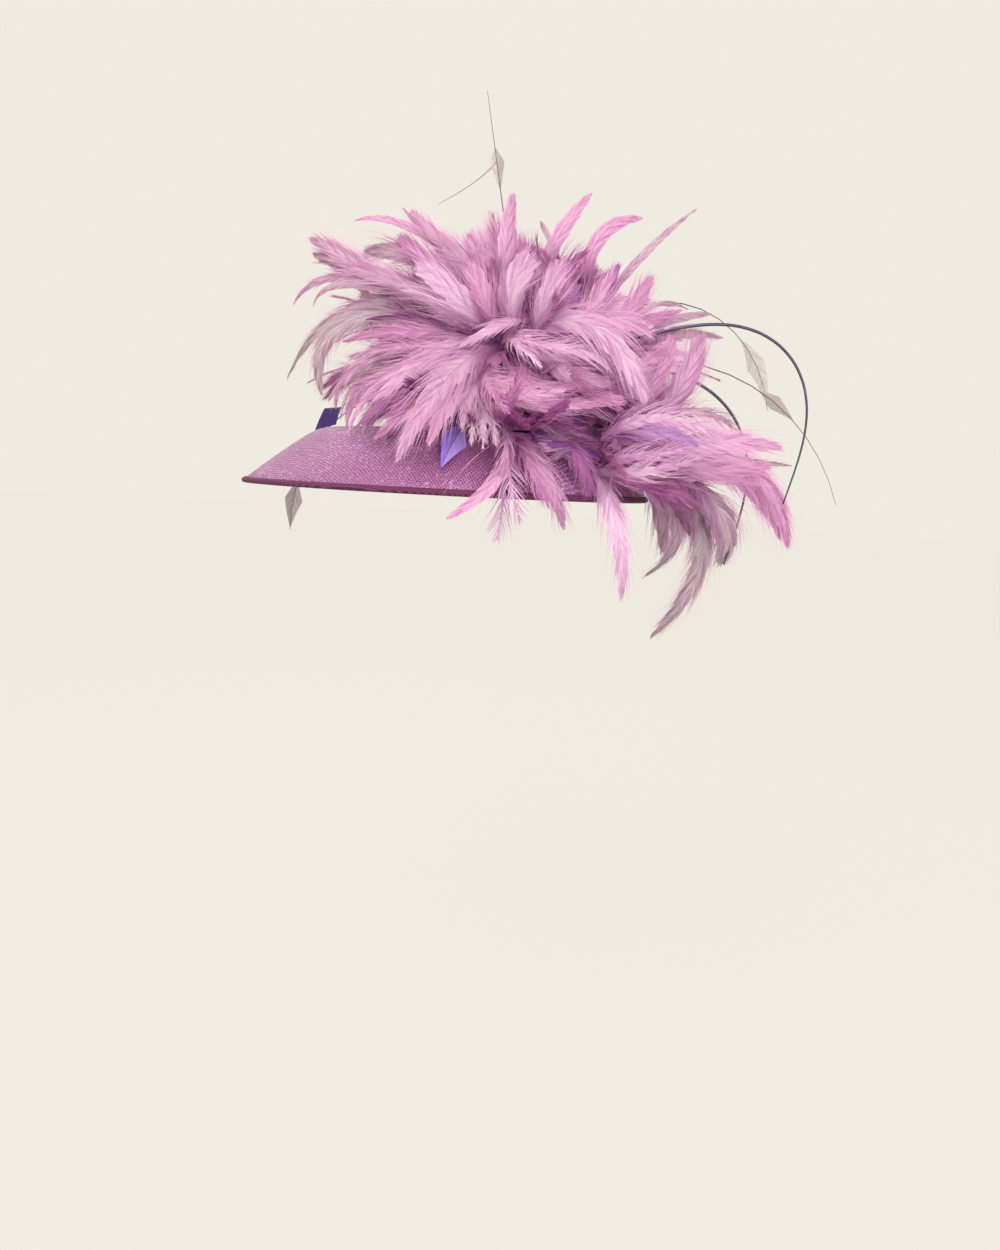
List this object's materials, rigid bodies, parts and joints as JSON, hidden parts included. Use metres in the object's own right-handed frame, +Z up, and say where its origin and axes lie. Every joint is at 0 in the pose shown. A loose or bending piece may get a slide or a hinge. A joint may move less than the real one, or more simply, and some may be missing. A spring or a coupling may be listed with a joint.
{
  "type": "feather hat",
  "caption": "Wide-brimmed dress hat of woven straw cloth, its round crown buried in sprays of dyed hackle feathers with bare curved quills.",
  "frame": {"origin": "centre of the head opening, level with the top of the flat brim", "axes": "+Z up the crown, the wearer faces -Y, +X is the wearer's left"},
  "size_m": [0.4677, 0.5221, 0.4873],
  "materials": {
    "straw_cloth": "woven, slightly glossy",
    "edge_binding": "matte",
    "hackle_feathers": "soft satin",
    "bare_quills": "satin",
    "trimmed_feathers": "satin"
  },
  "bodies": {
    "root": {"crown": "straw_cloth", "brim": "straw_cloth", "rim_binding": "edge_binding", "quill_upper": "bare_quills", "quill_lower": "bare_quills", "arrowhead_top": "trimmed_feathers", "arrowhead_front": "trimmed_feathers", "arrowhead_side": "trimmed_feathers", "arrowhead_hanging": "trimmed_feathers", "arrowhead_right_high": "trimmed_feathers", "arrowhead_right_low": "trimmed_feathers", "spray_left_top": "hackle_feathers", "spray_top_front": "hackle_feathers", "spray_top_right": "hackle_feathers", "spray_right_low": "hackle_feathers", "spray_right_fall": "hackle_feathers", "spray_front_left": "hackle_feathers", "spray_left_mid": "hackle_feathers", "spray_front_low": "hackle_feathers", "spray_right": "hackle_feathers", "spray_front_mid": "hackle_feathers", "spray_back_left": "hackle_feathers", "spray_back": "hackle_feathers", "spray_back_right": "hackle_feathers", "spray_top_back": "hackle_feathers"}
  },
  "joints": []
}
